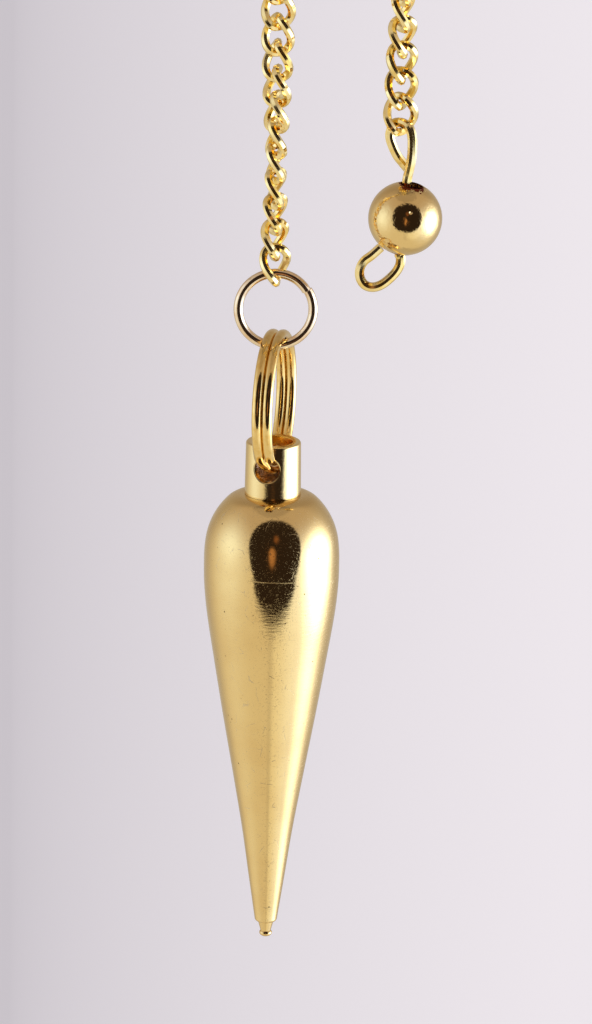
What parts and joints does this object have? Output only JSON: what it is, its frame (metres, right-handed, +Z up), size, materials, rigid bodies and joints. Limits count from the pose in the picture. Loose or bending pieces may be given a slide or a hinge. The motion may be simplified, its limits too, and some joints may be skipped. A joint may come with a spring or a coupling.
{
  "type": "pendulum pendant",
  "caption": "Turned teardrop pendulum bob with a tube collar, hung by a split ring and a jump ring from a curb chain that ends in a drilled bead on an eye pin.",
  "frame": {"origin": "top of the peg or finger that the chain hangs over, under the top of its arch", "axes": "+Z up, +X from the bob's leg of the chain to the bead's leg, -Y towards the picture's camera"},
  "size_m": [0.022, 0.0138, 0.1468],
  "materials": {
    "turned_gold": "gold-plated brass, turned and polished, with fine turning lines",
    "collar_gold": "gold-plated brass tube, polished",
    "ring_gold": "gold-plated brass wire, polished",
    "chain_gold": "gold-plated brass wire, bright"
  },
  "bodies": {
    "chain_body": {"chain": "chain_gold", "eye_pin": "chain_gold", "bead": "turned_gold"},
    "jump_body": {"jump_ring": "ring_gold"},
    "split_body": {"split_ring": "ring_gold"},
    "bob_body": {"bob": "turned_gold", "collar": "collar_gold"}
  },
  "joints": [
    {"name": "jump_swing", "type": "hinge", "parent": "chain_body", "child": "jump_body", "pos_m": [-0.00563, 0, -0.07887], "axis": [0, 1, 0], "range_deg": [-35, 25]},
    {"name": "split_swing", "type": "hinge", "parent": "jump_body", "child": "split_body", "pos_m": [-0.00563, 0, -0.08506], "axis": [1, 0, 0], "range_deg": [-60, 60]},
    {"name": "bob_swing", "type": "hinge", "parent": "split_body", "child": "bob_body", "pos_m": [-0.00563, 0, -0.09671], "axis": [0.2419, 0.9703, 0], "range_deg": [-60, 60]}
  ]
}
